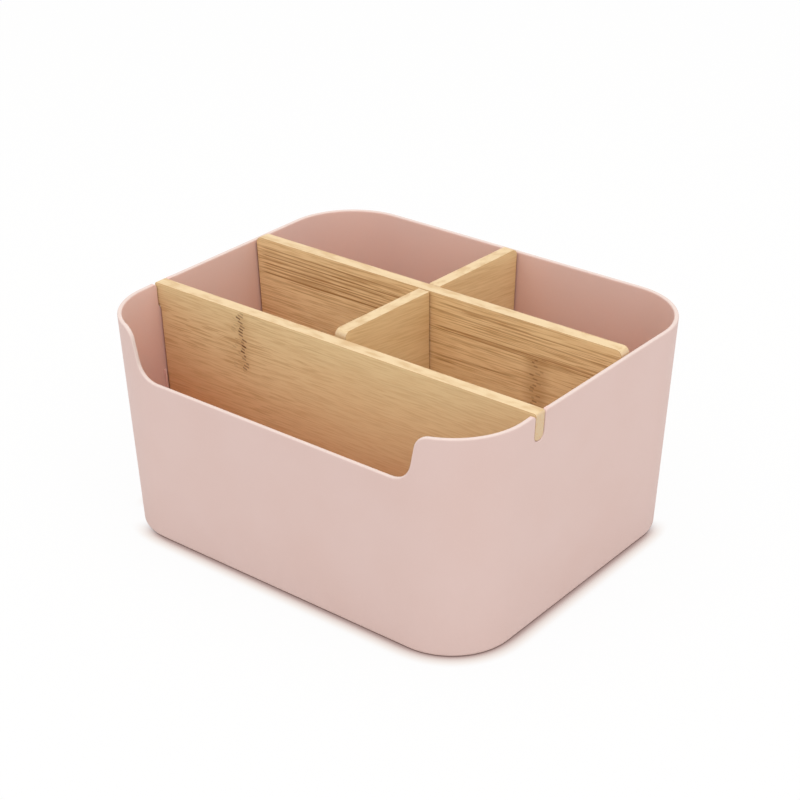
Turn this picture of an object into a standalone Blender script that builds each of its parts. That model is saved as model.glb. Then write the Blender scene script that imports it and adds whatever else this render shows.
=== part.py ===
"""Desk organizer: a moulded bin, a front divider in open slots and a lift-out cross of two boards.

Metres, +Z up. The origin is under the middle of the bin, on the surface that it stands on.
+X runs along the front wall, which has a dip in it, and -Y points to the front.
"""
import math

import bmesh
import bpy
from mathutils import Vector

# Bin: one moulding, whose walls lean out evenly from the base to the rim
bin_width = 0.205
bin_depth = 0.1705
bin_height = 0.101
wall_thickness = 0.002
floor_thickness = 0.002
draft_angle = math.radians(2.9)
corner_radius = 0.034
base_edge_radius = 0.0012
rim_edge_radius = 0.0007
floor_fillet_radius = 0.0015

# Dip in the front wall, for reaching in; its width is taken at half its depth
dip_width = 0.1476
dip_depth = 0.0222
dip_lean_angle = math.radians(12)
dip_bottom_radius = 0.0105
dip_top_radius = 0.0065

# Boards
board_thickness = 0.006
board_edge_round = 0.0004
board_top_corner_radius = 0.003
board_foot_corner_radius = 0.001
floor_gap = 0.0003
end_gap = 0.0006

# Front divider, whose tabs hang in an open slot of each side wall
front_divider_place = -0.0403
front_divider_stand_up = 0.0004
slot_depth = 0.0125
slot_clearance = 0.0005
slot_shoulder_radius = 0.0018
tab_seat_gap = 0.0003
tab_setback = 0.0002
tab_top_radius = 0.0025
tab_foot_radius = 0.0026

# Guide ribs in front of and behind each end of the front divider
rib_height = 0.058
rib_reach = 0.001
rib_width = 0.001

# Cross of two boards, halved into each other; the short one sits a little askew in the halving
cross_stand_up = 0.002
long_divider_place = 0.0234
short_divider_place = -0.0007
short_divider_turn = math.radians(1.9)
short_divider_front_gap = 0.0026
halving_clearance = 0.0003

# How far a cutter runs past what it cuts, and how deep a joined piece is sunk into its carrier
overrun = 0.005
sunk_share = 0.5

# Fineness of the curves
corner_steps = 14
fillet_steps = 5
edge_steps = 3

# Finishes: linear colour, then roughness
bin_finish = ((0.70, 0.50, 0.45), 0.55)
front_board_finish = ((0.60, 0.37, 0.17), 0.50)
long_board_finish = ((0.55, 0.33, 0.15), 0.50)
short_board_finish = ((0.62, 0.40, 0.19), 0.50)


def clear_scene():
    for thing in list(bpy.data.objects):
        bpy.data.objects.remove(thing, do_unlink=True)


def new_collection(name):
    collection = bpy.data.collections.new(name)
    bpy.context.scene.collection.children.link(collection)
    return collection


def new_material(name, finish):
    colour, roughness = finish
    material = bpy.data.materials.new(name)
    material.use_nodes = True
    shader = material.node_tree.nodes["Principled BSDF"]
    shader.inputs["Base Color"].default_value = (*colour, 1)
    shader.inputs["Roughness"].default_value = roughness
    shader.inputs["Metallic"].default_value = 0
    return material


def shade(mesh):
    mesh.shade_smooth()
    mesh.set_sharp_from_angle(angle=math.radians(35))


# Outlines

def arc(centre, radius, start, turn, steps):
    """Points from the angle start, through the angle turn, round centre."""
    points = []
    for step in range(steps + 1):
        angle = start + turn * step / steps
        points.append(centre + radius * Vector((math.cos(angle), math.sin(angle))))
    return points


def rounded_outline(corners):
    """Closed outline through corners (across, up, radius), each rounded by an arc of its radius."""
    points = []
    for index, (across, up, radius) in enumerate(corners):
        corner = Vector((across, up))
        if radius == 0:
            points.append(corner)
            continue
        back = (Vector(corners[index - 1][:2]) - corner).normalized()
        ahead = (Vector(corners[(index + 1) % len(corners)][:2]) - corner).normalized()
        half_angle = back.angle(ahead) / 2
        centre = corner + (back + ahead).normalized() * radius / math.sin(half_angle)
        first = corner + back * radius / math.tan(half_angle) - centre
        last = corner + ahead * radius / math.tan(half_angle) - centre
        start = math.atan2(first.y, first.x)
        turn = (math.atan2(last.y, last.x) - start + math.pi) % (2 * math.pi) - math.pi
        points += arc(centre, radius, start, turn, fillet_steps)
    return points


def slab(name, outline, thickness, place, turn, collection):
    """Flat piece of even thickness, drawn as a filled 2D curve and then made a mesh.

    The outline stands upright: its second number is height, and turn faces it round +Z.
    """
    curve = bpy.data.curves.new(name, "CURVE")
    curve.dimensions = "2D"
    curve.fill_mode = "BOTH"
    curve.extrude = thickness / 2
    spline = curve.splines.new("POLY")
    spline.points.add(len(outline) - 1)
    for point, (across, up) in zip(spline.points, outline):
        point.co = (across, up, 0, 1)
    spline.use_cyclic_u = True
    drawn = bpy.data.objects.new(name + "_outline", curve)
    drawn.location = place
    drawn.rotation_euler = (math.pi / 2, 0, turn)
    collection.objects.link(drawn)
    bpy.context.view_layer.update()

    evaluated = drawn.evaluated_get(bpy.context.evaluated_depsgraph_get())
    mesh = bpy.data.meshes.new_from_object(evaluated)
    mesh.name = name
    shape = bmesh.new()
    shape.from_mesh(mesh)
    bmesh.ops.remove_doubles(shape, verts=shape.verts, dist=0.00001)
    bmesh.ops.recalc_face_normals(shape, faces=shape.faces)
    shape.to_mesh(mesh)
    shape.free()
    piece = bpy.data.objects.new(name, mesh)
    piece.matrix_world = drawn.matrix_world
    collection.objects.link(piece)
    bpy.data.objects.remove(drawn, do_unlink=True)
    return piece


# Bin

def draft_inset(height):
    return (bin_height - height) * math.tan(draft_angle)


def plan_place(run):
    """Place and outward direction on the rim's outer outline.

    run is the distance along the outline from the middle of the front wall, to the right
    when it is positive.
    """
    side = math.copysign(1, run)
    left = abs(run)
    front_run = bin_width / 2 - corner_radius
    corner_run = corner_radius * math.pi / 2
    side_run = bin_depth - 2 * corner_radius
    if left <= front_run:
        place, outward = Vector((left, -bin_depth / 2)), Vector((0, -1))
    elif left <= front_run + corner_run:
        angle = (left - front_run) / corner_radius
        outward = Vector((math.sin(angle), -math.cos(angle)))
        place = Vector((front_run, -side_run / 2)) + outward * corner_radius
    elif left <= front_run + corner_run + side_run:
        place = Vector((bin_width / 2, left - front_run - corner_run - side_run / 2))
        outward = Vector((1, 0))
    elif left <= front_run + 2 * corner_run + side_run:
        angle = (left - front_run - corner_run - side_run) / corner_radius
        outward = Vector((math.cos(angle), math.sin(angle)))
        place = Vector((front_run, side_run / 2)) + outward * corner_radius
    else:
        back_left = 2 * front_run + 2 * corner_run + side_run - left
        place, outward = Vector((back_left, bin_depth / 2)), Vector((0, 1))
    return Vector((place.x * side, place.y)), Vector((outward.x * side, outward.y))


def wall_place(run, height, inset):
    """Point of the wall at a run and a height, set in from the leaning outer face."""
    place, outward = plan_place(run)
    flat = place - outward * (draft_inset(height) + inset)
    return Vector((flat.x, flat.y, height))


def dip_side():
    """Right side of the dip as (run, height, way down into the wall), from its bottom to the rim."""
    bottom = bin_height - dip_depth
    middle = bin_height - dip_depth / 2
    lean = dip_lean_angle

    def side_run(height):
        return dip_width / 2 + (height - middle) * math.tan(lean)

    low = bottom + dip_bottom_radius * (1 - math.sin(lean))
    high = bin_height - dip_top_radius * (1 - math.sin(lean))
    hollow = Vector((side_run(low) - dip_bottom_radius * math.cos(lean), bottom + dip_bottom_radius))
    crest = Vector((side_run(high) + dip_top_radius * math.cos(lean), bin_height - dip_top_radius))
    quarter = math.pi / 2 - lean
    side = []
    for point in arc(hollow, dip_bottom_radius, -math.pi / 2, quarter, fillet_steps):
        side.append((point, (point - hollow).normalized()))
    for point in arc(crest, dip_top_radius, math.pi - lean, -quarter, fillet_steps):
        side.append((point, (crest - point).normalized()))
    return side


def rim_stations():
    """Rim line once round the bin as (point, way down), where a point is (run, height)."""
    front_run = bin_width / 2 - corner_radius
    corner_run = corner_radius * math.pi / 2
    side_run = bin_depth - 2 * corner_radius
    level = []
    for step in range(corner_steps + 1):
        level.append(front_run + corner_run * step / corner_steps)
    for step in range(corner_steps + 1):
        level.append(front_run + corner_run + side_run + corner_run * step / corner_steps)
    half = dip_side()
    dip_end = half[-1][0].x
    spacing = corner_run / corner_steps / 2
    for run in level:
        if run > dip_end + spacing:
            half.append((Vector((run, bin_height)), Vector((0, -1))))
    other_half = []
    for point, down in reversed(half):
        other_half.append((Vector((-point.x, point.y)), Vector((-down.x, down.y))))
    return half + other_half


def wall_section(point, down):
    """Places from the base, up the outer face, over the rim and down to the floor."""
    quarter_turns = []
    for step in range(edge_steps + 1):
        quarter_turns.append(math.pi / 2 * step / edge_steps)
    section = []
    for angle in quarter_turns:
        height = base_edge_radius * (1 - math.cos(angle))
        inset = base_edge_radius * (1 - math.sin(angle))
        section.append(wall_place(point.x, height, inset))
    for angle in quarter_turns:
        edge = point + down * rim_edge_radius * (1 - math.sin(angle))
        inset = rim_edge_radius * (1 - math.cos(angle))
        section.append(wall_place(edge.x, edge.y, inset))
    for angle in quarter_turns:
        edge = point + down * rim_edge_radius * (1 - math.cos(angle))
        inset = wall_thickness - rim_edge_radius * (1 - math.sin(angle))
        section.append(wall_place(edge.x, edge.y, inset))
    for angle in quarter_turns:
        height = floor_thickness + floor_fillet_radius * (1 - math.sin(angle))
        inset = wall_thickness + floor_fillet_radius * (1 - math.cos(angle))
        section.append(wall_place(point.x, height, inset))
    return section


def make_moulding(collection):
    """Closed body of the bin: one wall section carried round the rim line, with two flat ends."""
    shape = bmesh.new()
    columns = []
    for point, down in rim_stations():
        column = []
        for place in wall_section(point, down):
            column.append(shape.verts.new(place))
        columns.append(column)
    for index, column in enumerate(columns):
        before = columns[index - 1]
        for row in range(len(column) - 1):
            shape.faces.new((before[row], column[row], column[row + 1], before[row + 1]))
    shape.faces.new([column[0] for column in columns])
    shape.faces.new([column[-1] for column in columns])
    bmesh.ops.recalc_face_normals(shape, faces=shape.faces)
    bmesh.ops.triangulate(shape, faces=shape.faces)
    mesh = bpy.data.meshes.new("bin")
    shape.to_mesh(mesh)
    shape.free()
    moulding = bpy.data.objects.new("bin", mesh)
    collection.objects.link(moulding)
    return moulding


def slot_outline():
    """Open-topped slot with a rounded foot and shoulders, centred on the front divider."""
    half_width = board_thickness / 2 + slot_clearance
    bottom = bin_height - slot_depth
    bottom_radius = min(tab_foot_radius + slot_clearance, half_width)
    # The shoulder stops just short of level, so that it crosses the rim at a slight angle
    shoulder_turn = math.radians(75)
    shoulder = Vector((half_width + slot_shoulder_radius, bin_height - slot_shoulder_radius))
    right = arc(shoulder, slot_shoulder_radius, math.pi, -shoulder_turn, fillet_steps)
    way_up = Vector((math.sin(shoulder_turn), math.cos(shoulder_turn)))
    right.append(right[-1] + way_up * overrun)
    right.append(right[-1] + Vector((0, overrun)))
    foot = arc(Vector((half_width - bottom_radius, bottom + bottom_radius)), bottom_radius,
               -math.pi / 2, math.pi / 2, fillet_steps)
    right = foot + right
    left = [Vector((-point.x, point.y)) for point in reversed(right)]
    return right + left


def cut_slots(moulding, cutters):
    cutter = slab("side_slot_cutter", slot_outline(), bin_width + 2 * overrun,
                  (0, front_divider_place, 0), math.pi / 2, cutters)
    add_boolean(moulding, cutter, "DIFFERENCE")


def add_ribs(moulding, cutters):
    """Low upright ribs that keep each end of the front divider in its place."""
    foot = floor_thickness * sunk_share
    top = floor_thickness + rib_height
    low_face = bin_width / 2 - wall_thickness - draft_inset(foot)
    high_face = bin_width / 2 - wall_thickness - draft_inset(top)
    sunk = wall_thickness * sunk_share
    top_radius = rib_reach * sunk_share
    offset = (board_thickness + rib_width) / 2 + slot_clearance
    for side in (-1, 1):
        corners = [
            (side * (low_face + sunk), foot, 0),
            (side * (high_face + sunk), top, 0),
            (side * (high_face - rib_reach), top, top_radius),
            (side * (low_face - rib_reach), foot, 0),
        ]
        for step in (-1, 1):
            name = f"rib_{'left' if side < 0 else 'right'}_{'front' if step < 0 else 'back'}"
            place = (0, front_divider_place + step * offset, 0)
            rib = slab(name, rounded_outline(corners), rib_width, place, 0, cutters)
            add_boolean(moulding, rib, "UNION")


def add_boolean(piece, other, operation):
    other.hide_render = True
    other.display_type = "WIRE"
    step = piece.modifiers.new(other.name, "BOOLEAN")
    step.operation = operation
    step.object = other
    step.solver = "EXACT"


def make_bin(parts, cutters):
    moulding = make_moulding(parts)
    add_ribs(moulding, cutters)
    cut_slots(moulding, cutters)
    moulding.data.materials.append(new_material("pink_moulded_bamboo_fibre", bin_finish))
    shade(moulding.data)
    return moulding


# Boards

board_foot = floor_thickness + floor_gap
front_divider_top = bin_height + front_divider_stand_up
cross_top = bin_height + cross_stand_up
halving_height = (board_foot + cross_top) / 2
wall_foot_radius = floor_fillet_radius + end_gap


def side_reach(height):
    """Half the length of a board that ends just short of the side walls."""
    return bin_width / 2 - draft_inset(height) - wall_thickness - end_gap


def back_reach(height):
    return bin_depth / 2 - draft_inset(height) - wall_thickness - end_gap


def halving_half_width():
    """Half the width of a halving that lets the other board through at the cross's angle."""
    slant = 1 / math.cos(short_divider_turn) + math.tan(short_divider_turn)
    return board_thickness / 2 * slant + halving_clearance


def finish_board(board, material_name, finish):
    step = board.modifiers.new("arris", "BEVEL")
    step.width = board_edge_round
    step.segments = 2
    step.limit_method = "ANGLE"
    step.angle_limit = math.radians(40)
    board.data.materials.append(new_material(material_name, finish))
    shade(board.data)


def tab_corner_outline(tab_foot):
    """What is cut off below one corner of a tab, so that the tab's foot is round like the slot."""
    half_width = board_thickness / 2
    # The round ends just short of level and upright, so that it crosses both faces at a slight angle
    graze = math.radians(8)
    centre = Vector((half_width - tab_foot_radius, tab_foot + tab_foot_radius))
    curve = arc(centre, tab_foot_radius, graze - math.pi / 2, math.pi / 2 - 2 * graze, fillet_steps)
    way_down = Vector((-math.cos(graze), -math.sin(graze)))
    way_up = Vector((math.sin(graze), math.cos(graze)))
    outside = Vector((half_width + overrun, tab_foot - overrun))
    return [curve[0] + way_down * overrun] + curve + [curve[-1] + way_up * overrun, outside]


def round_tabs(board, tab_foot, cutters):
    """Round the foot of each tab where it passes through the wall."""
    inner = side_reach(tab_foot) + end_gap / 2
    outer = bin_width / 2 + overrun
    for side in (-1, 1):
        place = (side * (inner + outer) / 2, front_divider_place, 0)
        for face in (-1, 1):
            outline = [(face * across, up) for across, up in tab_corner_outline(tab_foot)]
            name = f"tab_{'left' if side < 0 else 'right'}_{'front' if face < 0 else 'back'}_corner"
            cutter = slab(name, outline, outer - inner, place, math.pi / 2, cutters)
            add_boolean(board, cutter, "DIFFERENCE")


def make_front_divider(parts, cutters):
    """Board across the whole bin, cut back below its tabs so that only these pass the walls."""
    tab_foot = bin_height - slot_depth + tab_seat_gap
    tab_end_low = bin_width / 2 - draft_inset(tab_foot) - tab_setback
    tab_end_high = bin_width / 2 - draft_inset(front_divider_top) - tab_setback
    # The foot of a tab is square to its leaning end
    tab_root = side_reach(tab_foot)
    tab_root_height = tab_foot + (tab_end_low - tab_root) * math.tan(draft_angle)
    right = [
        (side_reach(board_foot), board_foot, wall_foot_radius),
        (tab_root, tab_root_height, 0),
        (tab_end_low, tab_foot, 0),
        (tab_end_high, front_divider_top, tab_top_radius),
    ]
    left = [(-across, up, radius) for across, up, radius in reversed(right)]
    board = slab("front_divider", rounded_outline(right + left), board_thickness,
                 (0, front_divider_place, 0), 0, parts)
    round_tabs(board, tab_foot, cutters)
    finish_board(board, "bamboo_front_board", front_board_finish)


def make_long_divider(parts):
    """Board of the cross that runs from side to side; its halving opens downwards."""
    half_notch = halving_half_width()
    notch_top = halving_height + halving_clearance / 2
    foot, top = side_reach(board_foot), side_reach(cross_top)
    corners = [
        (-foot, board_foot, wall_foot_radius),
        (short_divider_place - half_notch, board_foot, 0),
        (short_divider_place - half_notch, notch_top, 0),
        (short_divider_place + half_notch, notch_top, 0),
        (short_divider_place + half_notch, board_foot, 0),
        (foot, board_foot, wall_foot_radius),
        (top, cross_top, board_top_corner_radius),
        (-top, cross_top, board_top_corner_radius),
    ]
    board = slab("long_cross_divider", rounded_outline(corners), board_thickness,
                 (0, long_divider_place, 0), 0, parts)
    finish_board(board, "bamboo_long_board", long_board_finish)


def make_short_divider(parts):
    """Board of the cross that runs from front to back; its halving opens upwards.

    Its outline is drawn from the middle of the crossing.
    """
    half_notch = halving_half_width()
    notch_foot = halving_height - halving_clearance / 2
    front_end = front_divider_place + board_thickness / 2 + short_divider_front_gap
    front = (front_end - long_divider_place) / math.cos(short_divider_turn)

    def back(height):
        corner_swing = board_thickness / 2 * math.tan(short_divider_turn)
        return (back_reach(height) - long_divider_place) / math.cos(short_divider_turn) - corner_swing

    corners = [
        (front, board_foot, board_foot_corner_radius),
        (back(board_foot), board_foot, wall_foot_radius),
        (back(cross_top), cross_top, board_top_corner_radius),
        (half_notch, cross_top, 0),
        (half_notch, notch_foot, 0),
        (-half_notch, notch_foot, 0),
        (-half_notch, cross_top, 0),
        (front, cross_top, board_top_corner_radius),
    ]
    board = slab("short_cross_divider", rounded_outline(corners), board_thickness,
                 (short_divider_place, long_divider_place, 0), math.pi / 2 - short_divider_turn, parts)
    finish_board(board, "bamboo_short_board", short_board_finish)


def main():
    clear_scene()
    parts = new_collection("desk_organizer")
    cutters = new_collection("cutters")
    make_bin(parts, cutters)
    make_front_divider(parts, cutters)
    make_long_divider(parts)
    make_short_divider(parts)


main()
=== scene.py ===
# Looks for the desk organizer: a fine shell for the moulded bin, bamboo boards, a floor and soft light
import math

import bpy
import numpy as np
from mathutils import Euler, Matrix, Vector


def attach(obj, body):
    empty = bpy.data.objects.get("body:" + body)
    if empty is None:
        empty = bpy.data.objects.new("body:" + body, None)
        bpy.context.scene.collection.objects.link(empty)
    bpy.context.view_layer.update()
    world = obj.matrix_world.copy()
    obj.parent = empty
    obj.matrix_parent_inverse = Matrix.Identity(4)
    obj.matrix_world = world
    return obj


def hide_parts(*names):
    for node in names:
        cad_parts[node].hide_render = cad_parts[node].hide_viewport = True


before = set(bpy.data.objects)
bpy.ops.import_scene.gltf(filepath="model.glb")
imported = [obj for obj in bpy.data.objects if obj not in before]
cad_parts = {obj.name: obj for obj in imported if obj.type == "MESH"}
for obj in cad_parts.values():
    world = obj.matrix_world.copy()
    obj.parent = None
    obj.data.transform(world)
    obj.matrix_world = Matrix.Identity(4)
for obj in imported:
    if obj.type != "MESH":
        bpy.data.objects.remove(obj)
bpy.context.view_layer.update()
print("frame loaded")


# Shared by all pieces

def roundedPath(corners, spacing, closed):
    # Straight runs between corners (across, up, radius), each turned by an arc that touches both runs:
    # its centre lies on the bisector, radius / sin(half the angle) from the corner. Straight runs are cut
    # into even steps of about spacing. Gives the places and the directions to the left of the way.
    arcStep, fewestSteps = math.radians(11), 5
    spots = np.array([corner[:2] for corner in corners], float)
    count = len(spots)
    bends = []
    for index in range(count):
        radius = corners[index][2]
        if not closed and index in (0, count - 1):
            bends.append((spots[index:index + 1], None))
            continue
        back = spots[index - 1] - spots[index]
        ahead = spots[(index + 1) % count] - spots[index]
        back /= np.hypot(*back)
        ahead /= np.hypot(*ahead)
        halfAngle = math.acos(np.clip(back @ ahead, -1, 1)) / 2
        bisector = (back + ahead) / np.hypot(*(back + ahead))
        centre = spots[index] + bisector * radius / math.sin(halfAngle)
        first = spots[index] + back * radius / math.tan(halfAngle) - centre
        turn = math.copysign(math.pi - 2 * halfAngle, ahead[0] * back[1] - ahead[1] * back[0])
        steps = max(fewestSteps, math.ceil(abs(turn) / arcStep))
        angles = math.atan2(first[1], first[0]) + turn * np.linspace(0, 1, steps + 1)
        spoke = np.stack([np.cos(angles), np.sin(angles)], 1)
        bends.append((centre + radius * spoke, -spoke * math.copysign(1, turn)))
    places, lefts = [], []
    for index in range(count):
        bend, left = bends[index]
        following = bends[(index + 1) % count][0][0]
        way = following - bend[-1]
        length = np.hypot(*way)
        side = np.array([-way[1], way[0]]) / length
        if not closed and index == count - 1:
            side = lefts[-1][-1]
        places.append(bend)
        lefts.append(np.repeat(side[None], len(bend), 0) if left is None else left)
        if closed or index < count - 1:
            shares = np.linspace(0, 1, max(2, round(length / spacing) + 1))[1:-1, None]
            places.append(bend[-1] + shares * way)
            lefts.append(np.repeat(side[None], len(shares), 0))
    return np.concatenate(places), np.concatenate(lefts)


def gridFaces(rows, columns):
    # Quads of a grid whose columns close on themselves, as corner numbers row * columns + column
    row, column = np.meshgrid(np.arange(rows - 1), np.arange(columns), indexing="ij")
    after = (column + 1) % columns
    quads = [row * columns + column, row * columns + after, (row + 1) * columns + after, (row + 1) * columns + column]
    return np.stack(quads, -1).reshape(-1, 4)


def newPiece(name, places, faces, shares=None):
    # shares are attributes on the points that the materials read
    mesh = bpy.data.meshes.new(name)
    mesh.from_pydata(places, [], faces)
    for key, values in (shares or {}).items():
        attribute = mesh.attributes.new(key, "FLOAT", "POINT")
        attribute.data.foreach_set("value", np.ravel(values).astype(np.float32))
    piece = bpy.data.objects.new(name, mesh)
    bpy.context.scene.collection.objects.link(piece)
    return piece


def closedSurface(name, grid, rowShares=None):
    # Grid of places [row, column], counterclockwise from above, with a pole in the middle of its first and last rows
    rows, columns = grid.shape[:2]
    poles = np.stack([grid[0].mean(0), grid[-1].mean(0)])
    here = np.arange(columns)
    after = (here + 1) % columns
    last = (rows - 1) * columns
    first = np.stack([after, here, np.full(columns, rows * columns)], 1)
    end = np.stack([last + here, last + after, np.full(columns, rows * columns + 1)], 1)
    faces = gridFaces(rows, columns).tolist() + first.tolist() + end.tolist()
    shares = {}
    for key, values in (rowShares or {}).items():
        values = np.broadcast_to(np.reshape(values, (rows, -1)), (rows, columns))
        shares[key] = np.concatenate([values.ravel(), [values[0, 0], values[-1, 0]]])
    piece = newPiece(name, np.concatenate([grid.reshape(-1, 3), poles]), faces, shares)
    piece.data.shade_smooth()
    return piece


def linearColour(code):
    # sRGB hex to the linear colour that the nodes work in: a share / 12.92 near black, else
    # ((share + 0.055) / 1.055) ^ 2.4
    parts = np.array([int(code[at:at + 2], 16) for at in (0, 2, 4)]) / 255
    linear = np.where(parts <= 0.04045, parts / 12.92, ((parts + 0.055) / 1.055) ** 2.4)
    return (*linear.tolist(), 1.0)


def nodeAdder(tree):
    # Gives the function that adds one node: its inputs are values, colours or other nodes' outputs, in order or
    # by name, its settings are named, stops are a ramp's places and colours, and it hands back the output asked
    # for, or all of them
    tree.nodes.clear()

    def add(kind, inputs=(), output=0, stops=(), **settings):
        node = tree.nodes.new("ShaderNode" + kind)
        for key, value in settings.items():
            setattr(node, key, value)
        for index, (place, colour) in enumerate(stops):
            ramp = node.color_ramp.elements
            element = ramp[index] if index < len(ramp) else ramp.new(place)
            element.position = place
            element.color = linearColour(colour)
        for socket, value in inputs.items() if isinstance(inputs, dict) else enumerate(inputs):
            if isinstance(value, bpy.types.NodeSocket):
                tree.links.new(value, node.inputs[socket])
            else:
                node.inputs[socket].default_value = linearColour(value) if isinstance(value, str) else value
        if not node.outputs:
            return node
        return list(node.outputs) if output is None else node.outputs[output]

    return add


def newMaterial(name):
    # An empty node material, and the function that adds its nodes
    material = bpy.data.materials.new(name)
    material.use_nodes = True
    return material, nodeAdder(material.node_tree)


# Bin: one moulding with drafted walls, a dip in front and a slot in each side, in metres

binShape = {
    "width": 0.205,
    "depth": 0.1705,
    "height": 0.101,
    "wall": 0.002,
    "floor": 0.002,
    "draft": math.radians(2.9),
    "cornerRadius": 0.034,
    "baseEdge": 0.0012,
    "rimEdge": 0.0007,
    "slotEdge": 0.0003,
    "floorFillet": 0.0015,
    "dipWidth": 0.1476,
    "dipDepth": 0.0222,
    "dipLean": math.radians(12),
    "dipBottomRadius": 0.0105,
    "dipTopRadius": 0.0065,
    "slotPlace": -0.04045,
    "slotWidth": 0.0066,
    "slotDepth": 0.01235,
    "slotBottomRadius": 0.0031,
    "slotShoulder": 0.0018,
    "ribPlace": -0.0403,
    "spacing": 0.0012,
    "look": {
        # the inner faces' two colours are painted interior light and shade, warmer and more saturated than the
        # outside and darker towards the floor; the paler rim colour is a painted highlight along the rounded rim
        "pink": "DCC1BA", "inside": "E1BDB2", "deep": "E0B2A5", "rim": "DBC7BE",
        "cloud": "D9BBB2", "cloudSize": 0.03, "cloudDepth": 0.5,
        "fleck": "E1C8BF", "fleckSize": 0.0009, "fleckDepth": 0.25, "fleckRise": 0.00005,
        # the painted interior shade is full below this share of the height
        "paintedShadeLowShare": 0.3, "roughness": 0.5, "roughnessSpread": 0.06,
    },
}


def planPlace(run, height, inset):
    # Point of the wall at a run along the rim's outline from the middle of the front, set in from the leaning
    # outer face: the centre of the corner's arc walks round a smaller rectangle, the way out turns at its
    # corners, and the point lies corner radius - draft - inset along the way out
    b = binShape
    frontRun = b["width"] / 2 - b["cornerRadius"]
    sideRun = b["depth"] - 2 * b["cornerRadius"]
    cornerRun = b["cornerRadius"] * math.pi / 2
    left = np.abs(run)
    turnOne = np.clip(left - frontRun, 0, cornerRun)
    turnTwo = np.clip(left - frontRun - cornerRun - sideRun, 0, cornerRun)
    angle = (turnOne + turnTwo) / b["cornerRadius"]
    across = np.clip(left, 0, frontRun) - np.clip(left - frontRun - 2 * cornerRun - sideRun, 0, frontRun)
    along = np.clip(left - frontRun - cornerRun, 0, sideRun) - sideRun / 2
    reach = b["cornerRadius"] - (b["height"] - height) * math.tan(b["draft"]) - inset
    x = (across + np.sin(angle) * reach) * np.where(run < 0, -1, 1)
    y = along - np.cos(angle) * reach
    return np.stack([x, y, height + 0 * x], -1)


def rimLine():
    # Rim once round the bin in (run, height): its places, its ways up out of the wall, the run of the foot below
    # each, spread evenly between the middles of the front, dip side, slot and back, and how much of a slot's edge
    # it is: exp(-(distance from the slot's middle / slot width) ^ 4)
    b = binShape
    halfRun = b["width"] + b["depth"] - 4 * b["cornerRadius"] + b["cornerRadius"] * math.pi
    dipLow = b["height"] - b["dipDepth"]
    spread = b["dipDepth"] / 2 * math.tan(b["dipLean"])
    slotRun = (b["width"] + b["depth"]) / 2 - 2 * b["cornerRadius"] + b["cornerRadius"] * math.pi / 2 + b["slotPlace"]
    slotLow = b["height"] - b["slotDepth"]
    corners = [
        (0, dipLow, 0),
        (b["dipWidth"] / 2 - spread, dipLow, b["dipBottomRadius"]),
        (b["dipWidth"] / 2 + spread, b["height"], b["dipTopRadius"]),
        (slotRun - b["slotWidth"] / 2, b["height"], b["slotShoulder"]),
        (slotRun - b["slotWidth"] / 2, slotLow, b["slotBottomRadius"]),
        (slotRun + b["slotWidth"] / 2, slotLow, b["slotBottomRadius"]),
        (slotRun + b["slotWidth"] / 2, b["height"], b["slotShoulder"]),
        (halfRun, b["height"], 0),
    ]
    places, ups = roundedPath(corners, b["spacing"], False)
    length = np.concatenate([[0], np.cumsum(np.hypot(*np.diff(places, axis=0).T))])
    marks = [0, b["dipWidth"] / 2, slotRun, halfRun]
    isSide = (places[:, 0] < slotRun / 2 + b["dipWidth"] / 4) & (places[:, 1] > dipLow + b["dipDepth"] / 2)
    atSide = length[np.argmax(isSide)]
    atSlot = length[np.argmin(np.abs(places[:, 0] - slotRun))]
    feet = np.interp(length, [0, atSide, atSlot, length[-1]], marks)
    mirror = np.array([-1, 1])
    places = np.concatenate([places, (places * mirror)[-2:0:-1]])
    ups = np.concatenate([ups, (ups * mirror)[-2:0:-1]])
    feet = np.concatenate([feet, -feet[-2:0:-1]])
    slotShare = np.exp(-((np.abs(places[:, 0]) - slotRun) / b["slotWidth"]) ** 4)
    return places, ups, feet, slotShare


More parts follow.
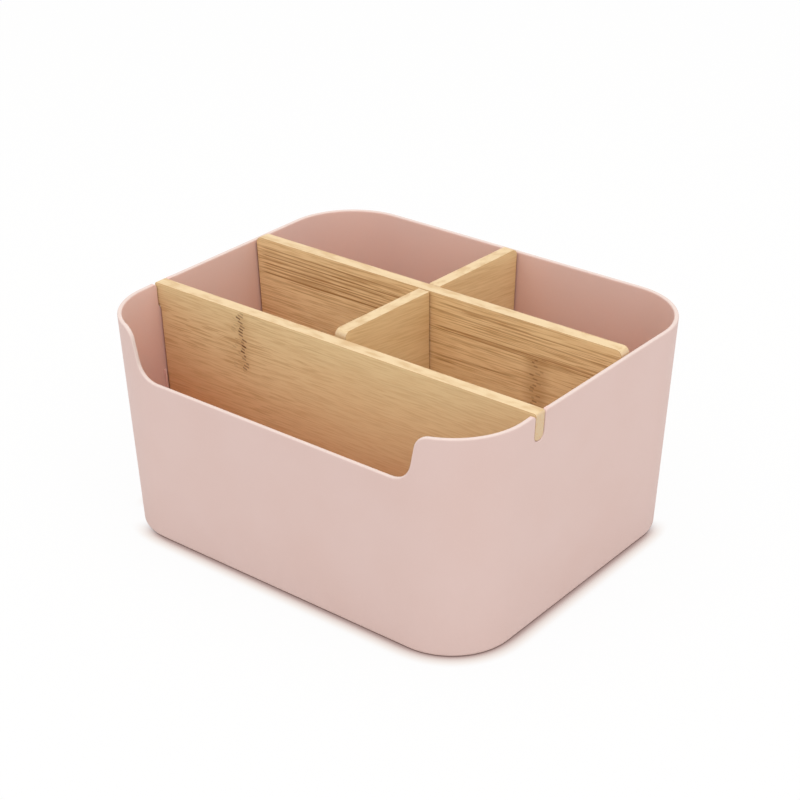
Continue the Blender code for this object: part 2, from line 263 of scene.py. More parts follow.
def makeBinShell():
    # Rows of the grid follow one wall section: middle of the underside, base edge, outer face, rim, inner face,
    # floor fillet, middle of the floor. Rounded edges are quarter turns (radius * (1 - cos), radius * (1 - sin)),
    # and each face runs straight, in (run, height), from the rim's edge to its foot.
    b = binShape
    edgeSteps = 6
    faceShares = np.concatenate([[0.006, 0.02], np.linspace(0.05, 0.95, 13), [0.98, 0.994]])  # closer at both ends
    flatShares = (0.99, 0.96, 0.8, 0.5, 0.2)  # rows of a flat bottom, as shares of its reach
    places, ups, feet, slotShare = rimLine()
    lean = b["draft"]
    edge = b["rimEdge"] + (b["slotEdge"] - b["rimEdge"]) * slotShare

    def footArc(radius, base, inset, angles):
        # Arc of this radius that touches the leaning face and the level base
        tangent = base + radius * (1 - math.sin(lean))
        centre = inset + (b["height"] - tangent) * math.tan(lean) + radius * math.cos(lean)
        rings = []
        for angle in angles:
            height = base + radius * (1 - math.sin(angle))
            deep = centre - radius * math.cos(angle) - (b["height"] - height) * math.tan(lean)
            rings.append(planPlace(feet, np.full_like(feet, height), deep))
        return rings

    def face(inset, base, radius, shares):
        # Straight from the rim's edge to where the foot's arc begins
        foot = np.stack([feet, np.full_like(feet, base + radius * (1 - math.sin(lean)))], 1)
        start = places - ups * edge[:, None]
        return [planPlace(*(start + (foot - start) * share).T, inset) for share in shares]

    def rimArc(angles, inset, way):
        # Quarter turn from a face to the rim's top, inwards or outwards
        rings = []
        for angle in angles:
            at = places - ups * edge[:, None] * (1 - math.sin(angle))
            rings.append(planPlace(*at.T, inset + way * edge * (1 - math.cos(angle))))
        return rings

    quarter = np.linspace(0, math.pi / 2, edgeSteps)
    outerFoot = footArc(b["baseEdge"], 0, 0, np.linspace(math.pi / 2, lean, edgeSteps))
    innerFoot = footArc(b["floorFillet"], b["floor"], b["wall"], np.linspace(lean, math.pi / 2, edgeSteps))
    outside = [outerFoot[0] * [share, share, 1] for share in flatShares[::-1]] + outerFoot
    outside += face(0, 0, b["baseEdge"], faceShares[::-1]) + rimArc(quarter, 0, 1)
    inside = rimArc(quarter[::-1], b["wall"], -1) + face(b["wall"], b["floor"], b["floorFillet"], faceShares)
    inside += innerFoot + [innerFoot[-1] * [share, share, 1] for share in flatShares]
    # the inner rows take the painted interior light and shade, and the rim's rounding takes the painted rim highlight
    paintedShadeInsideShare, rimHighlightShare = np.zeros((2, len(outside) + len(inside)))
    paintedShadeInsideShare[len(outside):] = 1
    rimHighlightShare[len(outside) - len(quarter):len(outside)] = np.sin(quarter)
    rimHighlightShare[len(outside):len(outside) + len(quarter)] = np.sin(quarter[::-1])
    shares = {"paintedShadeInsideShare": paintedShadeInsideShare, "rimHighlightShare": rimHighlightShare[:, None] * (1 - slotShare)}
    return closedSurface("binShell", np.stack(outside + inside), shares)


# Guide ribs, two in each side wall, just clear of the front board's faces

ribShape = {
    "height": 0.058,
    "reach": 0.001,
    "width": 0.001,
    "sunk": 0.001,
    "topRound": 0.001,
    "squareness": 0.4,
    "boardHalf": 0.003,
    "gap": 0.0005,
}


def makeRib(name, side, place):
    # Upright rib: its section is a rounded oblong, reach * |cos| ^ squareness by width * |sin| ^ squareness, that
    # leans with the wall and whose reach ends in a quarter round, sqrt(1 - share ^ 2), at the top
    b, r = binShape, ribShape
    straightRows, roundRows, sides = 12, 6, 28
    roundStart, roundEnd = 0.25, math.pi / 2 - 0.05  # just short of a point at the top
    top = b["floor"] + r["height"]
    straight = np.linspace(b["floor"] / 2, top - r["topRound"], straightRows)
    rounded = top - r["topRound"] * (1 - np.sin(np.linspace(roundStart, roundEnd, roundRows)))
    heights = np.concatenate([straight, rounded])
    share = np.clip((heights - top + r["topRound"]) / r["topRound"], 0, 1)
    reach = (r["reach"] + r["sunk"]) * np.sqrt(1 - share ** 2)
    turn = np.linspace(0, 2 * math.pi, sides, endpoint=False)
    out = np.sign(np.cos(turn)) * np.abs(np.cos(turn)) ** r["squareness"]
    wide = np.sign(np.sin(turn)) * np.abs(np.sin(turn)) ** r["squareness"]
    wallX = b["width"] / 2 - b["wall"] - (b["height"] - heights) * math.tan(b["draft"]) + r["sunk"]
    x = wallX[:, None] - reach[:, None] * (1 + out) / 2
    y = place - wide * r["width"] / 2 + 0 * x
    grid = np.stack([x * side, y, heights[:, None] + 0 * x], -1)
    # the ribs stand inside: full painted interior light and shade, no painted rim highlight
    shares = {"paintedShadeInsideShare": np.ones(len(heights)), "rimHighlightShare": np.zeros(len(heights))}
    return closedSurface(name, grid if side > 0 else grid[:, ::-1], shares)


def pinkMouldedBambooFibre():
    # Bamboo-fibre plastic, injection moulded with a fine matt skin: an even powdery pink with hardly any
    # cloudiness and a soft wide sheen. Painted light and shade: the inner faces are warmer, more saturated and darker
    # towards the floor, and the rounded rim is paler, a painted highlight
    look = binShape["look"]
    material, add = newMaterial("pinkMouldedBambooFibre")
    place = add("TexCoord", output="Object")
    # painted interior light and shade: the inner faces take a warmer, more saturated pink that grows darker towards
    # the floor
    paintedShadeInsideShare = add("Attribute", output="Fac", attribute_name="paintedShadeInsideShare")
    height = add("SeparateXYZ", (place,), 2)
    depth = add("MapRange", (height, binShape["height"], look["paintedShadeLowShare"] * binShape["height"]))
    inside = add("Mix", {"Factor": depth, 6: look["inside"], 7: look["deep"]}, 2, data_type="RGBA")
    base = add("Mix", {"Factor": paintedShadeInsideShare, 6: look["pink"], 7: inside}, 2, data_type="RGBA")
    cloud = add("TexNoise", {"Vector": place, "Scale": 1 / look["cloudSize"], "Detail": 2.0})
    cloudShare = add("MapRange", (cloud, 0.35, 0.75, 0.0, look["cloudDepth"]))
    clouded = add("Mix", {"Factor": cloudShare, 6: base, 7: look["cloud"]}, 2, data_type="RGBA")
    # fibre flecks are about 0.15 mm wide and 1 mm long, drawn at 0.9 mm so that they show
    fleck = add("TexNoise", {"Vector": place, "Scale": 1 / look["fleckSize"], "Detail": 2.0})
    fleckShare = add("MapRange", (fleck, 0.55, 0.8, 0.0, look["fleckDepth"]))
    flecked = add("Mix", {"Factor": fleckShare, 6: clouded, 7: look["fleck"]}, 2, data_type="RGBA")
    # painted highlight: the rounded rim is drawn in a paler pink
    rimHighlightShare = add("Attribute", output="Fac", attribute_name="rimHighlightShare")
    rimHighlightShare = add("MapRange", (rimHighlightShare, 0.2, 0.9), interpolation_type="SMOOTHSTEP")
    colour = add("Mix", {"Factor": rimHighlightShare, 6: flecked, 7: look["rim"]}, 2, data_type="RGBA")
    smoothest = look["roughness"] - look["roughnessSpread"]
    rough = add("MapRange", (fleck, 0.0, 1.0, smoothest, look["roughness"] + look["roughnessSpread"]))
    bump = add("Bump", {"Strength": 0.12, "Distance": look["fleckRise"], "Height": fleck})
    shader = add("BsdfPrincipled", {"Base Color": colour, "Roughness": rough, "IOR": 1.48, "Normal": bump})
    add("OutputMaterial", {"Surface": shader})
    return material


binFinish = pinkMouldedBambooFibre()
binPieces = [makeBinShell()]
ribOffset = ribShape["boardHalf"] + ribShape["gap"] + ribShape["width"] / 2
for sideName, side in (("Left", -1), ("Right", 1)):
    for endName, step in (("Front", -1), ("Back", 1)):
        rib = makeRib("guideRib" + sideName + endName, side, binShape["ribPlace"] + step * ribOffset)
        binPieces.append(rib)
for piece in binPieces:
    piece.data.materials.append(binFinish)
    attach(piece, "bin")
    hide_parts("bin")
print("bin made")


# Boards: sanded bamboo with softened edges, glued up from strips, in metres

boardShape = {
    "thickness": 0.006,
    "arris": 0.0004,
    "foot": 0.0023,
    "footRadius": 0.0021,
    "notchMouthRadius": 0.0006,
    "notchEndRadius": 0.0003,
    "crossTop": 0.103,
    "endGap": 0.0006,
    "spacing": 0.004,
}

# Grain and finish of every board. Noise is (length along the fibres, width across them, detail).
bambooGrain = {
    "through": 0.004,
    "wander": (0.06, 0.014, 2.0),
    "patch": (0.06, 0.014, 2.0),
    "bundle": (0.09, 0.0034, 1.0),
    "fine": (0.010, 0.0006, 3.0),  # fibres are 0.2 to 0.4 mm wide, drawn at 0.6 mm so that they show
    "pore": 0.0007,  # pores are 0.2 mm wide, drawn at 0.7 mm so that they show
    "bandFade": 0.003,
    "lineFade": 0.006,
    "knuckleFade": 0.002,
    "strokePitch": 0.0015,
    "strokeRow": (0.5, 0.14, 0.2),  # middle, half and fade of a stroke, as shares of the pitch
    "strokeEnd": (0.0003, -0.0001),
    "edge": "DDC297",
    "edgeFibre": "C9A676",
    "endGrain": "D6BB96",
    # painted dark line of shade along the arrises: its place, half width and fade on the arris, then its depth
    "arrisShadeBand": (0.4, 0.2, 0.15),
    "arrisShadeDepth": 0.55,
    "roughness": (0.45, 0.57),
    "relief": 0.00012,
}

# Tuples in a board's look. Places are in metres, along from its origin and up from the table, and depth is how
# strongly the colour is laid on, from 0 to 1: warm spots of painted shade and pink bounce from the bin's walls
# (along, up, half length, half height, depth), knuckles (along, up, half height, lean, sway, shortest and longest
# half stroke, depth), bands (up, half height, depth), lines (up, slope, first and last place along, width, depth).
# plainSide is where along the dark fibres are weakest, where they are full, and the share that is left of them. The
# tint ramp is
# painted light and shade by height: each stop is a share of the height and a tint.


def sideReach(height):
    # Half the length of a board that ends just short of the side walls: half the width - lean - wall - gap
    b = binShape
    return b["width"] / 2 - (b["height"] - height) * math.tan(b["draft"]) - b["wall"] - boardShape["endGap"]


def makeBoard(name, corners, board, raised=None):
    # Outline (along, up) carried through the board's thickness; the arris is a quarter turn, in from the face
    # by arris * (1 - cos) and from the outline by arris * (1 - sin). Both faces are flat. The attribute edgeShare
    # grows over the arris from 0 on the faces to 1 on the edges, and endShare is 1 where an edge cuts the grain.
    s = boardShape
    arrisRows, edgeRows, edgeTurn = 5, 8, 1.4
    outline, lefts = roundedPath(corners, s["spacing"], True)
    quarter = np.linspace(0, math.pi / 2, arrisRows)
    half = s["thickness"] / 2
    deep = half - s["arris"] * (1 - np.cos(quarter))
    sunk = s["arris"] * (1 - np.sin(quarter))
    middle = (half - s["arris"]) * np.sin(np.linspace(-edgeTurn, edgeTurn, edgeRows))  # closer at the arrises
    through = np.concatenate([-deep, middle, deep[::-1]])
    sink = np.concatenate([sunk, 0 * middle, sunk[::-1]])
    spots = outline[None] + lefts[None] * sink[:, None, None]
    if raised:
        spots[..., 1] += raised(spots[..., 0], spots[..., 1], through[:, None])
    heading = board["heading"]
    way = np.array([math.cos(heading), math.sin(heading), 0])
    across = np.array([-math.sin(heading), math.cos(heading), 0])
    grid = np.array([*board["origin"], 0]) + spots[..., :1] * way + through[:, None, None] * across
    grid[..., 2] = spots[..., 1]
    rows, columns = grid.shape[:2]
    sides = gridFaces(rows, columns)[:, ::-1]
    front = list(range(columns))
    back = list(range(rows * columns - 1, (rows - 1) * columns - 1, -1))
    shares = {
        "edgeShare": np.repeat((1 - sink / s["arris"])[:, None], columns, 1),
        "endShare": np.repeat((lefts[:, 0] ** 2)[None], rows, 0),
    }
    piece = newPiece(name, grid.reshape(-1, 3), sides.tolist() + [front, back], shares)
    piece.data.polygons.foreach_set("use_smooth", [True] * len(sides) + [False, False])
    return piece


def bambooBoard(name, board):
    # Bamboo strips glued side by side, sanded and sealed with a thin matt lacquer: straight fibres, darker
    # bundles among them, a slightly other tone in each strip, knuckles where the stem had a joint, paler edges;
    # with painted light and shade laid on top: warm spots of painted shade and pink bounce, a painted tint that
    # changes with height and a painted dark line along the arrises
    look, grain, heading = board["look"], bambooGrain, board["heading"]
    material, add = newMaterial(name)
    smooth = {"interpolation_type": "SMOOTHSTEP"}
    multiply = {"operation": "MULTIPLY"}
    multiplyAdd = {"operation": "MULTIPLY_ADD"}
    colours = {"data_type": "RGBA"}

    def streaks(vector, length, width, detail):
        # Noise drawn out along the fibres to this length, and this wide across them
        sized = add("VectorMath", (vector, (1 / length, 1 / grain["through"], 1 / width)), **multiply)
        return add("TexNoise", {"Vector": sized, "Scale": 1.0, "Detail": detail})

    def near(value, centre, half, fade, top=1.0):
        # Top where the value lies within half of the centre, falling to 0 over fade
        off = add("Math", (value, centre), operation="SUBTRACT")
        off = add("Math", (off,), operation="ABSOLUTE")
        return add("MapRange", (off, half + fade, half, 0.0, top), **smooth)

    start = add("TexCoord", output="Object")
    shift = Matrix.Rotation(-heading, 3, "Z") @ Vector((*board["origin"], 0))
    place = add("Mapping", {"Vector": start, "Rotation": (0, 0, -heading), "Location": -shift})
    along, through, up = add("SeparateXYZ", (place,), None)

    # fibres wander a little; each strip of the board is its own piece of stem
    wander = add("Math", (streaks(place, *grain["wander"]), 0.5), operation="SUBTRACT")
    line = add("Math", (along, look["slant"], up), **multiplyAdd)
    line = add("Math", (wander, look["wander"], line), **multiplyAdd)
    strip = add("Math", (up, 1 / look["stripWidth"], -look["stripStart"] / look["stripWidth"]), **multiplyAdd)
    tone = add("TexWhiteNoise", {"W": add("Math", (strip,), operation="FLOOR")}, noise_dimensions="1D")
    grainPlace = add("CombineXYZ", (add("Math", (along, tone), operation="ADD"), through, line))
    fine = streaks(grainPlace, *grain["fine"])
    fibre = streaks(grainPlace, look["fibreLength"], look["fibreWidth"], 1.0)
    bundle = streaks(grainPlace, *grain["bundle"])
    patch = streaks(grainPlace, *grain["patch"])

    # dark fibres, stronger in the bands and weaker on the plain side. Noise keeps mostly between 0.3 and 0.7,
    # so a range above 0.5 picks single streaks out of it and a wide one takes it whole.
    strength = look["fibreDepth"]
    for height, half, depth in look["bands"]:
        strength = add("Math", (near(line, height, half, grain["bandFade"], depth), strength), operation="ADD")
    patchShare = add("MapRange", (patch, 0.35, 0.6, 0.5, 1.0), **smooth)
    plainShare = add("MapRange", (along, *look["plainSide"], 1.0))
    for share in (patchShare, plainShare):
        strength = add("Math", (strength, share), **multiply)
    dark = add("Math", (add("MapRange", (fibre, 0.52, 0.60), **smooth), strength), **multiply)
    pale = add("MapRange", (fibre, 0.47, 0.36, 0.0, look["paleDepth"]), **smooth)
    drawn = 0.0
    for height, slope, first, last, width, depth in look["lines"]:
        level = add("Math", (along, -slope, line), **multiplyAdd)
        reach = near(along, (first + last) / 2, (last - first) / 2 - grain["lineFade"], grain["lineFade"], depth)
        drawn = add("Math", (near(level, height, width / 4, width / 2), reach, drawn), **multiplyAdd)

    # knuckles: short dark strokes, nearly along the fibres, stacked across them, each a little off the one below
    zones, dashes = 0.0, 0.0
    for spotAlong, spotUp, halfHeight, lean, sway, shortest, longest, depth in look["knuckles"]:
        row = add("Math", (along, look["strokeTilt"], up), **multiplyAdd)
        row = add("Math", (row, grain["strokePitch"]), operation="DIVIDE")
        chance = add("TexWhiteNoise", {"W": add("Math", (row,), operation="FLOOR")}, 1, noise_dimensions="1D")
        chance = add("SeparateColor", (chance,), None)
        middle = add("Math", (up, lean, spotAlong - spotUp * lean - sway / 2), **multiplyAdd)
        middle = add("Math", (chance[0], sway, middle), **multiplyAdd)
        off = add("Math", (along, middle), operation="SUBTRACT")
        off = add("Math", (off,), operation="ABSOLUTE")
        half = add("MapRange", (chance[1], 0.0, 1.0, shortest, longest))
        end = add("Math", (off, half), operation="SUBTRACT")
        stroke = add("MapRange", (end, *grain["strokeEnd"], 0.0, depth), **smooth)
        stroke = add("Math", (stroke, add("MapRange", (chance[2], 0.0, 1.0, 0.5, 1.0))), **multiply)
        level = add("Math", (row,), operation="FRACT")
        stroke = add("Math", (stroke, near(level, *grain["strokeRow"])), **multiply)
        tall = near(up, spotUp, halfHeight, grain["knuckleFade"])
        dashes = add("Math", (tall, stroke, dashes), **multiplyAdd)
        zones = add("Math", (tall, near(along, spotAlong, sway / 4, sway + longest), zones), **multiplyAdd)
    dashes = add("Math", (dashes, 1.0), operation="MINIMUM")
    zones = add("Math", (zones, look["zoneDepth"]), **multiply)

    # colours of the face, laid one over the other
    layers = [(add("MapRange", (patch, 0.35, 0.7, 0.0, look["patchDepth"]), **smooth), "warm")]
    # painted shade and pink bounce from the bin's walls, laid on in soft spots
    for spotAlong, spotUp, halfLength, halfHeight, depth in look["paintedShadeSpots"]:
        alongShare = near(along, spotAlong, 0.0, halfLength)
        share = add("Math", (alongShare, near(up, spotUp, 0.0, halfHeight, depth)), **multiply)
        layers.append((share, "paintedShadeSpot"))
    layers.append((add("MapRange", (bundle, 0.45, 0.70, 0.0, look["bundleDepth"]), **smooth), "fibre"))
    layers.append((add("MapRange", (fine, 0.42, 0.63, 0.0, look["fineDepth"]), **smooth), "fibre"))
    layers += [(pale, "light"), (dark, "bundle"), (drawn, "bundle"), (zones, "bundle"), (dashes, "dash")]
    face = add("Mix", {"Factor": tone, 6: look["light"], 7: look["mid"]}, 2, **colours)
    for share, tint in layers:
        face = add("Mix", {"Factor": share, 6: face, 7: look[tint]}, 2, **colours)
    # painted light and shade by height: the face is multiplied by a tint ramp up the board, pinker low on the front
    # board
    paintedLightTint = add("ValToRGB", (add("Math", (up, 1 / board["top"]), **multiply),), stops=look["paintedLightTint"])
    face = add("Mix", {"Factor": 1.0, 6: face, 7: paintedLightTint}, 2, blend_type="MULTIPLY", **colours)

    # edges: long grain is pale, end grain is darker and full of fine dots, and a painted dark line of shade runs
    # along the arrises
    pores = add("TexNoise", {"Vector": place, "Scale": 1 / grain["pore"], "Detail": 1.0})
    endShare = add("Attribute", output="Fac", attribute_name="endShare")
    edgeShare = add("Attribute", output="Fac", attribute_name="edgeShare")
    share = add("MapRange", (fine, 0.40, 0.70, 0.0, 0.8), **smooth)
    edge = add("Mix", {"Factor": share, 6: grain["edge"], 7: grain["edgeFibre"]}, 2, **colours)
    share = add("MapRange", (pores, 0.5, 0.65, 0.0, 0.4), **smooth)
    cut = add("Mix", {"Factor": share, 6: grain["endGrain"], 7: look["fibre"]}, 2, **colours)
    share = add("MapRange", (endShare, 0.3, 0.8), **smooth)
    edge = add("Mix", {"Factor": share, 6: edge, 7: cut}, 2, **colours)
    share = add("MapRange", (edgeShare, 0.3, 0.7), **smooth)
    colour = add("Mix", {"Factor": share, 6: face, 7: edge}, 2, **colours)
    # painted shade line along the arrises
    share = near(edgeShare, *grain["arrisShadeBand"], grain["arrisShadeDepth"])
    colour = add("Mix", {"Factor": share, 6: colour, 7: look["bundle"]}, 2, **colours)

    # sanded surface: fibres stand a little proud, dark bundles and knuckle strokes are sunk
    rough = add("MapRange", (fine, 0.3, 0.7, *grain["roughness"]))
    height = add("Math", (fine, 0.5, add("Math", (dark, -0.4), **multiply)), **multiplyAdd)
    height = add("Math", (dashes, -1.0, height), **multiplyAdd)
    bump = add("Bump", {"Strength": 0.25, "Distance": grain["relief"], "Height": height})
    shader = add("BsdfPrincipled", {"Base Color": colour, "Roughness": rough, "IOR": 1.5, "Normal": bump})
    add("OutputMaterial", {"Surface": shader})
    return material


def finishBoard(piece, body, material):
    # The board's finish, the body it moves with, the solid it replaces and its material slot
    piece.data.materials.append(material)
    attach(piece, body)
    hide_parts(body)
    print(piece.name, "made")


# Front divider, with a tab at each end that hangs in a slot

frontBoard = {
    "origin": (0.0, -0.0403),
    "heading": 0.0,
    "top": 0.1014,
    "tabFoot": 0.0888,
    "tabSetback": 0.0002,
    "tabTopRadius": 0.0013,
    "tabFootRadius": 0.0026,
    "tabEndRadius": 0.0004,
    "rootRadius": 0.0003,
    "look": {
        "light": "F2CD9C", "mid": "EEC695", "warm": "EBBB89", "fibre": "D9AA77", "bundle": "AE7640",
        "dash": "5E2C08",
        "paintedLightTint": [(0.25, "FFF5F0"), (1.0, "F1FFFD")],
        "paintedShadeSpot": "E8A870", "paintedShadeSpots": [(-0.080, 0.030, 0.055, 0.055, 0.8)],
        "knuckles": [(-0.0500, 0.087, 0.0125, -0.10, 0.0028, 0.0006, 0.0014, 1.0),
                     (-0.0530, 0.086, 0.0115, -0.05, 0.0070, 0.0006, 0.0015, 0.25),
                     (0.0610, 0.036, 0.0120, 0.10, 0.0020, 0.0007, 0.0015, 0.8)],
        "strokeTilt": 0.25, "zoneDepth": 0.12,
        "bands": [(0.081, 0.006, 0.20)],
        "lines": [(0.0949, 0.0, -0.02, 0.02, 0.0006, 0.2)],
        "stripStart": 0.073, "stripWidth": 0.0275, "wander": 0.0012, "slant": 0.0,
        "fibreLength": 0.014, "fibreWidth": 0.0006, "fibreDepth": 0.30, "plainSide": (0.0, -0.05, 0.25),
        "paleDepth": 0.25, "patchDepth": 0.3, "fineDepth": 0.36, "bundleDepth": 0.08,
    },
}


def frontBoardOutline():
    # From side wall to side wall below, and out through the slots above
    b, s, f = binShape, boardShape, frontBoard
    tabLow = b["width"] / 2 - (b["height"] - f["tabFoot"]) * math.tan(b["draft"]) - f["tabSetback"]
    tabHigh = b["width"] / 2 - (b["height"] - f["top"]) * math.tan(b["draft"]) - f["tabSetback"]
    root = sideReach(f["tabFoot"])
    right = [
        (sideReach(s["foot"]), s["foot"], s["footRadius"]),
        (root, f["tabFoot"] + (tabLow - root) * math.tan(b["draft"]), f["rootRadius"]),
        (tabLow, f["tabFoot"], f["tabEndRadius"]),
        (tabHigh, f["top"], f["tabTopRadius"]),
    ]
    return right + [(-along, up, radius) for along, up, radius in reversed(right)]


def tabFootRise(along, up, through):
    # Inside the slot the tab's foot is round across the board: it rises by radius - sqrt(radius ^ 2 - off ^ 2),
    # less and less up the tab's end
    f = frontBoard
    radius = f["tabFootRadius"]
    fade = 2.4 * radius
    off = np.clip(np.abs(through) - boardShape["thickness"] / 2 + radius, 0, radius)
    outShare = np.clip((np.abs(along) - sideReach(f["tabFoot"])) / f["rootRadius"], 0, 1)
    lowShare = np.clip((f["tabFoot"] + fade - up) / fade, 0, 1)
    return (radius - np.sqrt(radius ** 2 - off ** 2)) * outShare * lowShare


piece = makeBoard("frontBoard", frontBoardOutline(), frontBoard, tabFootRise)
finishBoard(piece, "front_divider", bambooBoard("sandedBambooFrontBoard", frontBoard))


# Long board of the cross, side to side, halved from below; the short one passes it a little askew

longBoard = {
    "origin": (0.0, 0.0234),
    "heading": 0.0,
    "top": boardShape["crossTop"],
    "notchPlace": -0.0007,
    "notchHalf": 0.0034,
    "notchTop": 0.0528,
    "cornerRadius": 0.003,
    "look": {
        "light": "F7D7A7", "mid": "F1CF9E", "warm": "EEC695", "fibre": "D6AC76", "bundle": "9B6429",
        "dash": "6B3C16",
        "paintedLightTint": [(0.3, "FFFFFF"), (0.75, "FBFBF8"), (1.0, "F8F8F1")],
        "paintedShadeSpot": "E8AC78", "paintedShadeSpots": [(-0.095, 0.060, 0.030, 0.020, 0.6)],
        "knuckles": [(0.0585, 0.0760, 0.0105, 0.10, 0.0060, 0.0005, 0.0013, 0.55),
                     (-0.0310, 0.0340, 0.0120, 0.10, 0.0020, 0.0007, 0.0015, 0.8)],
        "strokeTilt": 0.1, "zoneDepth": 0.34,
        "bands": [(0.0915, 0.005, 0.20), (0.100, 0.003, 0.10), (0.079, 0.006, 0.08)],
        "lines": [(0.0880, 0.0, 0.003, 0.098, 0.0006, 0.65), (0.0867, -0.002, 0.003, 0.098, 0.0006, 0.55),
                  (0.0950, -0.012, 0.003, 0.098, 0.0007, 0.5), (0.0990, 0.0, 0.003, 0.060, 0.0006, 0.3),
                  (0.0977, -0.004, 0.003, 0.098, 0.0006, 0.3), (0.0735, 0.040, 0.003, 0.050, 0.0007, 0.4),
                  (0.0720, 0.0, 0.003, 0.018, 0.0008, 0.5), (0.0835, 0.0, 0.010, 0.070, 0.0006, 0.25),
                  (0.0985, 0.0, -0.099, -0.010, 0.0006, 0.6), (0.0968, 0.0, -0.099, -0.030, 0.0006, 0.6),
                  (0.0950, 0.0, -0.099, -0.010, 0.0006, 0.7), (0.0933, 0.0, -0.099, -0.020, 0.0006, 0.65),
                  (0.0912, 0.0, -0.099, -0.040, 0.0006, 0.65), (0.0900, 0.0, -0.099, -0.020, 0.0006, 0.6),
                  (0.0887, 0.0, -0.099, -0.010, 0.0006, 0.6), (0.0865, 0.0, -0.099, -0.010, 0.0008, 0.8),
                  (0.0835, 0.0, -0.099, -0.030, 0.0006, 0.35), (0.0820, 0.0, -0.080, -0.030, 0.0006, 0.3)],
        "stripStart": 0.0865, "stripWidth": 0.0170, "wander": 0.0009, "slant": 0.0,
        "fibreLength": 0.035, "fibreWidth": 0.0006, "fibreDepth": 0.25, "plainSide": (-1.0, 1.0, 1.0),
        "paleDepth": 0.5, "patchDepth": 0.3, "fineDepth": 0.52, "bundleDepth": 0.15,
    },
}


def longBoardOutline():
    # From side wall to side wall, with the notch cut up from the foot
    s, g = boardShape, longBoard
    foot, top = sideReach(s["foot"]), sideReach(g["top"])
    left, right = g["notchPlace"] - g["notchHalf"], g["notchPlace"] + g["notchHalf"]
    return [
        (-foot, s["foot"], s["footRadius"]),
        (left, s["foot"], s["notchMouthRadius"]),
        (left, g["notchTop"], s["notchEndRadius"]),
        (right, g["notchTop"], s["notchEndRadius"]),
        (right, s["foot"], s["notchMouthRadius"]),
        (foot, s["foot"], s["footRadius"]),
        (top, g["top"], g["cornerRadius"]),
        (-top, g["top"], g["cornerRadius"]),
    ]


piece = makeBoard("longBoard", longBoardOutline(), longBoard)
finishBoard(piece, "long_cross_divider", bambooBoard("sandedBambooLongBoard", longBoard))


# Short board of the cross, front to back, halved from above, drawn from the middle of the crossing

shortTurn = math.radians(1.9)
shortBoard = {
    "origin": (longBoard["notchPlace"], longBoard["origin"][1]),
    "heading": math.pi / 2 - shortTurn,
    "top": boardShape["crossTop"],
    "frontEnd": -0.0347,
    "notchHalf": 0.0034,
    "notchFoot": 0.0525,
    "frontFootRadius": 0.001,
    "cornerRadius": 0.003,
    "look": {
        "light": "E7C896", "mid": "E1C18B", "warm": "DBB583", "fibre": "CCA874", "bundle": "AB7A40",
        "dash": "5E340F",
        "paintedLightTint": [(0.3, "FFFFFF"), (1.0, "FFFFFF")],
        "paintedShadeSpot": "E0AC7A", "paintedShadeSpots": [],
        "knuckles": [(0.0340, 0.0450, 0.0120, 0.10, 0.0020, 0.0007, 0.0015, 0.7)],
        "strokeTilt": 0.25, "zoneDepth": 0.15,
        "bands": [],
        "lines": [],
        "stripStart": 0.081, "stripWidth": 0.0275, "wander": 0.0016, "slant": 0.10,
        "fibreLength": 0.016, "fibreWidth": 0.0007, "fibreDepth": 0.14, "plainSide": (-1.0, 1.0, 1.0),
        "paleDepth": 0.3, "patchDepth": 0.45, "fineDepth": 0.35, "bundleDepth": 0.15,
    },
}


def shortBoardOutline():
    # From frontEnd to the back wall, which it clears by as much as the long board clears the side walls: half the
    # bin's depth takes the place of half its width, less the crossing's place, and the askew corner is cut back
    b, s, g = binShape, boardShape, shortBoard
    place = g["origin"][1]
    shift = (b["depth"] - b["width"]) / 2 - place
    swing = s["thickness"] / 2 * math.tan(shortTurn)
    front = (g["frontEnd"] - place) / math.cos(shortTurn)
    foot = (sideReach(s["foot"]) + shift) / math.cos(shortTurn) - swing
    top = (sideReach(g["top"]) + shift) / math.cos(shortTurn) - swing
    return [
        (front, s["foot"], g["frontFootRadius"]),
        (foot, s["foot"], s["footRadius"]),
        (top, g["top"], g["cornerRadius"]),
        (g["notchHalf"], g["top"], s["notchMouthRadius"]),
        (g["notchHalf"], g["notchFoot"], s["notchEndRadius"]),
        (-g["notchHalf"], g["notchFoot"], s["notchEndRadius"]),
        (-g["notchHalf"], g["top"], s["notchMouthRadius"]),
        (front, g["top"], g["cornerRadius"]),
    ]


piece = makeBoard("shortBoard", shortBoardOutline(), shortBoard)
finishBoard(piece, "short_cross_divider", bambooBoard("sandedBambooShortBoard", shortBoard))


# Floor, light and camera

studio = {  # in metres, with shares and colours of the floor as the camera sees it
    "skyLight": 0.95,
    "lamps": [  # name, azimuth and rise in degrees, distance and size in metres, power in watts
        ("frontSoftbox", -8, 48, 1.6, 1.2, 3.0),
        ("sideSoftbox", 82, 48, 1.6, 1.2, 4.0),
        ("topSoftbox", 0, 90, 1.3, 1.4, 3.5),
    ],
    "floorReach": 3.0,
    "floorShown": 0.92,
    "floorGlow": 1.014,
    "paper": "D6D4D2",
    "shadeReach": 0.010,
    "shadeTones": [(0.25, "664E48"), (0.50, "A08580"), (0.57, "CCB5AF"), (0.65, "E5D7D1"), (0.76, "F6EEE9"),
                   (0.90, "FFFFFF")],
    "shadeWay": (0.62, -0.785, 0.0),
    "shadeFade": (0.04, 0.18),
}

# At the photograph's viewing angle, in degrees and metres, with the lens in pixels of the frame
view = {
    "azimuth": 38.665,
    "rise": 27.2926,
    "roll": -0.3128,
    "distance": 0.82845,
    "target": (-0.007747, 0.011285, 0.0505),
    "lens": 1860.92,
    "frameWidth": 800,
    "sensorWidth": 36,
}


def wayFrom(azimuth, rise):
    # Direction to a viewer or lamp: azimuth turns from the front to the right, rise goes up
    azimuth, rise = math.radians(azimuth), math.radians(rise)
    return Vector((math.sin(azimuth) * math.cos(rise), -math.cos(azimuth) * math.cos(rise), math.sin(rise)))


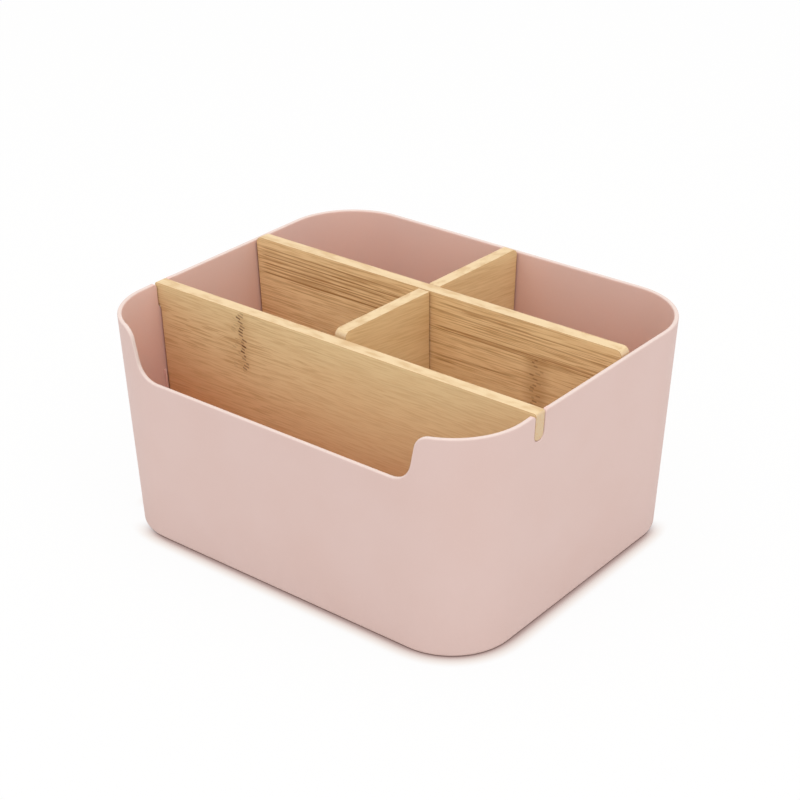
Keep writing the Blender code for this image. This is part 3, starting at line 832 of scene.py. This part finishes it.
def paperFloor():
    # White paper: seen by the camera it is white, with a thin brownish line of shade where the bin meets it in
    # front and behind, and for every other ray it is plain paper that throws light back and takes the shadow.
    # The shade fades out at both sides, where the way from the middle is square to shadeWay.
    material, add = newMaterial("whitePaper")
    near = add("AmbientOcclusion", {"Distance": studio["shadeReach"]}, "AO", samples=32)
    way = add("VectorMath", (add("TexCoord", output="Object"),), operation="NORMALIZE")
    facing = add("VectorMath", (way, studio["shadeWay"]), 1, operation="DOT_PRODUCT")
    facing = add("Math", (facing,), operation="ABSOLUTE")
    facing = add("MapRange", (facing, *studio["shadeFade"]), interpolation_type="SMOOTHSTEP")
    shade = add("ValToRGB", (near,), stops=studio["shadeTones"])
    shade = add("Mix", {"Factor": facing, 6: "FFFFFF", 7: shade}, 2, data_type="RGBA")
    shown = add("Emission", (shade, studio["floorGlow"]))
    paper = add("BsdfDiffuse", (studio["paper"],))
    share = add("Math", (add("LightPath", output="Is Camera Ray"), studio["floorShown"]), operation="MULTIPLY")
    add("OutputMaterial", {"Surface": add("MixShader", (share, paper, shown))})
    return material


def makeStudio():
    # Level floor, a white sky that is a little dimmer as light than as background, and large square softboxes
    reach = studio["floorReach"]
    corners = [(-reach, -reach, 0), (reach, -reach, 0), (reach, reach, 0), (-reach, reach, 0)]
    floor = newPiece("floor", corners, [(0, 1, 2, 3)])
    floor.data.materials.append(paperFloor())
    world = bpy.data.worlds.new("studioSky")
    bpy.context.scene.world = world
    world.use_nodes = True
    add = nodeAdder(world.node_tree)
    shown = 0.0
    for ray in ("Is Camera Ray", "Is Glossy Ray", "Is Transmission Ray"):
        shown = add("Math", (shown, add("LightPath", output=ray)), operation="MAXIMUM")
    strength = add("MapRange", (shown, 0.0, 1.0, studio["skyLight"], 1.0))
    add("OutputWorld", {"Surface": add("Background", {"Color": (1, 1, 1, 1), "Strength": strength})})
    for name, azimuth, rise, distance, size, power in studio["lamps"]:
        lamp = bpy.data.lights.new(name, "AREA")
        lamp.size = size
        lamp.energy = power
        softbox = bpy.data.objects.new(name, lamp)
        softbox.location = wayFrom(azimuth, rise) * distance
        softbox.rotation_euler = wayFrom(azimuth, rise).to_track_quat("Z", "Y").to_euler()
        bpy.context.scene.collection.objects.link(softbox)


def makeCamera():
    # Looks at the target from the distance, level except for the roll; focal length = sensor * lens / frame
    data = bpy.data.cameras.new("camera")
    data.sensor_width = view["sensorWidth"]
    data.lens = view["sensorWidth"] * view["lens"] / view["frameWidth"]
    camera = bpy.data.objects.new("camera", data)
    camera.location = Vector(view["target"]) + wayFrom(view["azimuth"], view["rise"]) * view["distance"]
    level = Euler((math.radians(90 - view["rise"]), 0, math.radians(view["azimuth"]))).to_matrix()
    camera.rotation_euler = (level @ Matrix.Rotation(math.radians(view["roll"]), 3, "Z")).to_euler()
    bpy.context.scene.collection.objects.link(camera)
    bpy.context.scene.camera = camera


makeStudio()
makeCamera()
bpy.context.scene.view_settings.view_transform = "Standard"
print("studio made")
